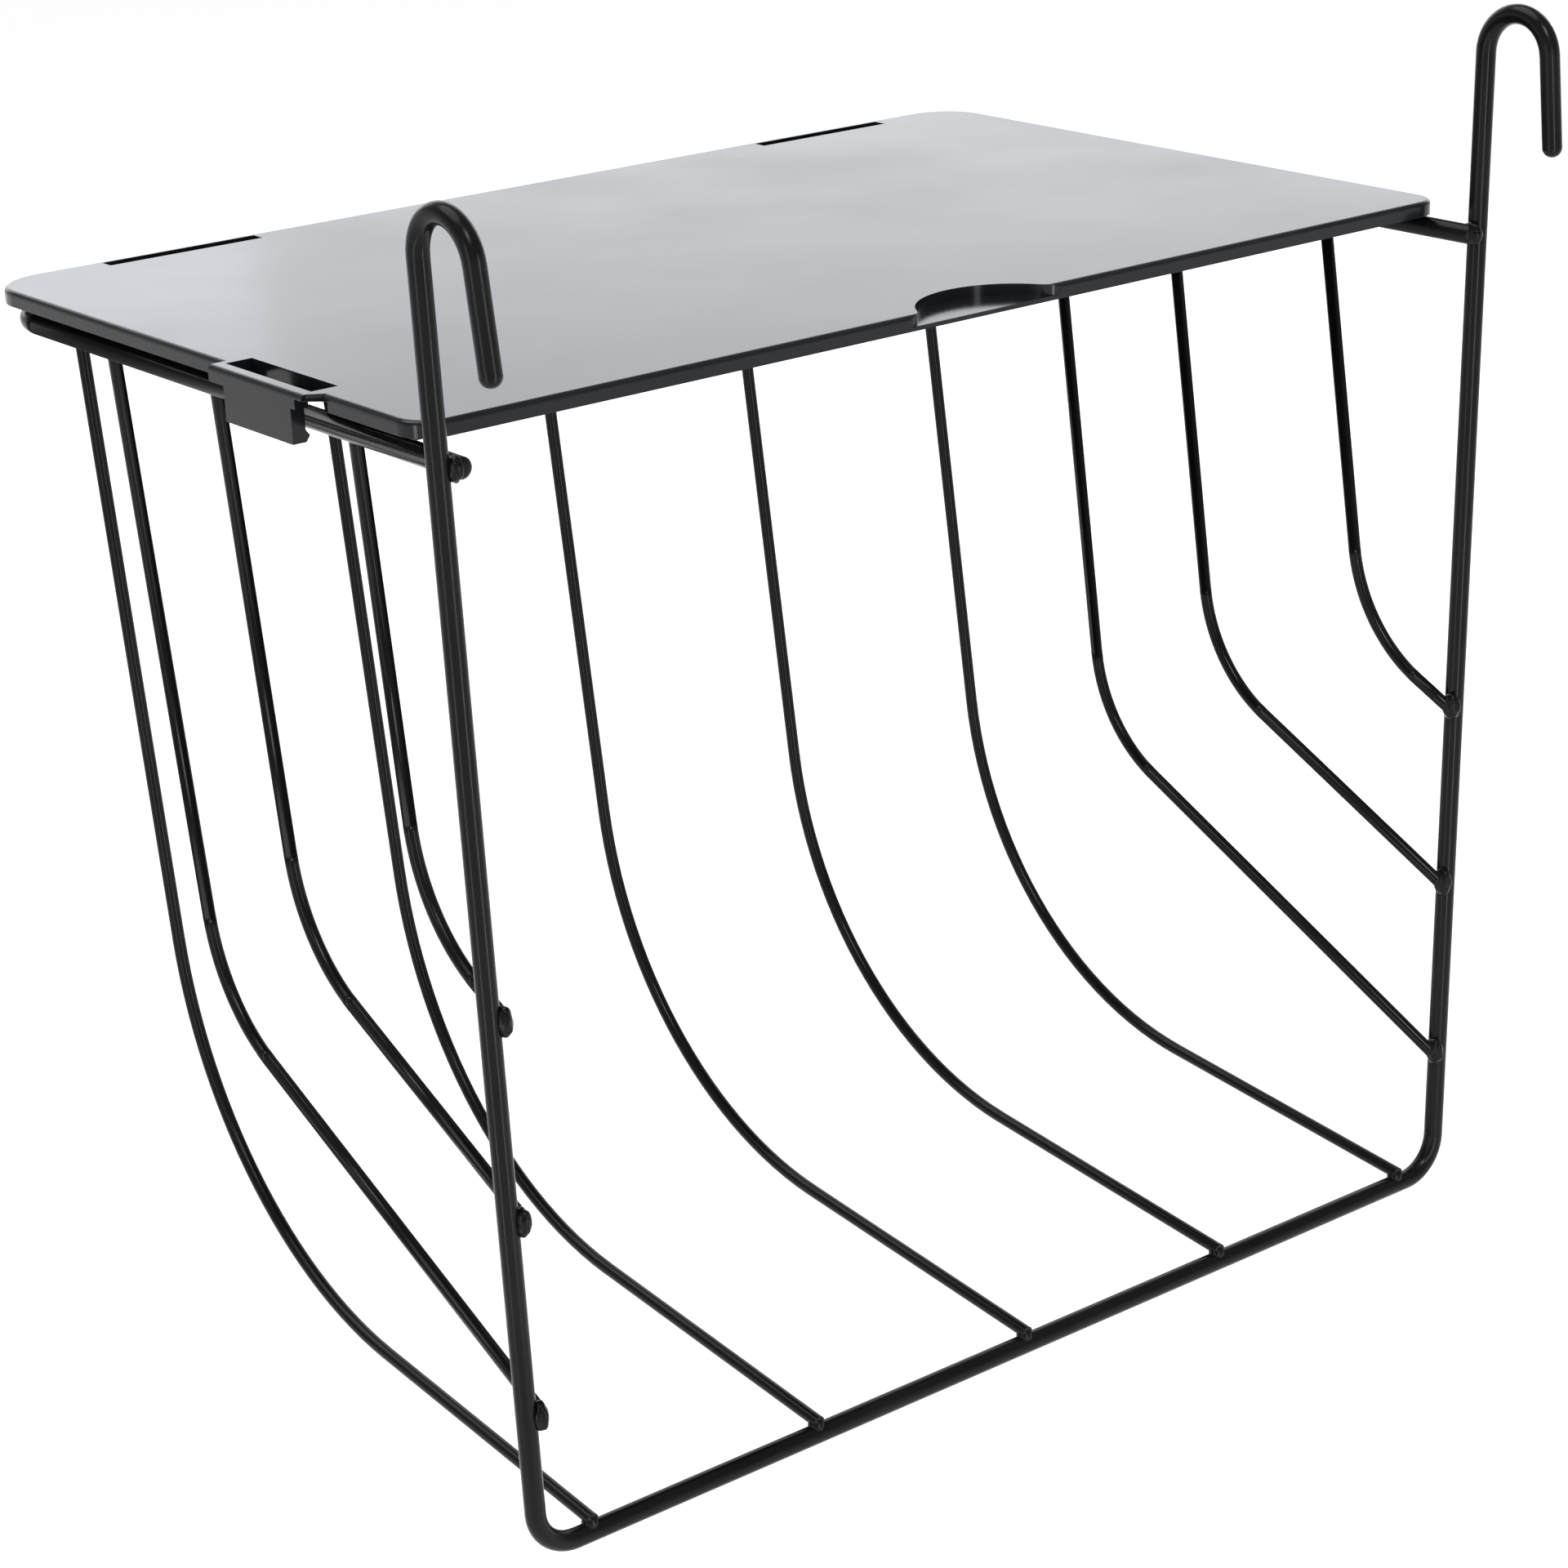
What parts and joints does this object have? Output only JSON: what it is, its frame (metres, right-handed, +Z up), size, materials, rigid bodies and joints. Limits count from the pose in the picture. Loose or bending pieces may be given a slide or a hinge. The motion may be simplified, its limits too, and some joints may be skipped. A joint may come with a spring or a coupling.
{
  "type": "hay feeder box",
  "caption": "Wire hay rack with two open hooks that hangs on a cage wall, closed by a hinged plastic lid with a thumb scoop and a side clip.",
  "frame": {"origin": "midway between the two hooks, on the line where the hooks' inner curves rest on the cage wire", "axes": "+Z up, +Y towards the cage wall that the feeder hangs on, the basket reaches towards -Y, +X towards the side with the lid's side clip"},
  "size_m": [0.2072, 0.1469, 0.2051],
  "materials": {
    "coated_wire": "gloss black powder coat",
    "lid_plastic": "gloss moulded plastic"
  },
  "bodies": {
    "basket": {"back_frame": "coated_wire", "top_frame": "coated_wire", "front_wire_1": "coated_wire", "front_wire_2": "coated_wire", "front_wire_3": "coated_wire", "front_wire_4": "coated_wire", "front_wire_5": "coated_wire", "left_side_wire_1": "coated_wire", "left_side_wire_2": "coated_wire", "left_side_wire_3": "coated_wire", "right_side_wire_1": "coated_wire", "right_side_wire_2": "coated_wire", "right_side_wire_3": "coated_wire"},
    "lid": {"lid": "lid_plastic"}
  },
  "joints": [
    {"name": "lid_hinge", "type": "hinge", "parent": "basket", "child": "lid", "pos_m": [0, -0.1342, -0.03381], "axis": [1, 0, 0], "range_deg": [0, 185]}
  ]
}
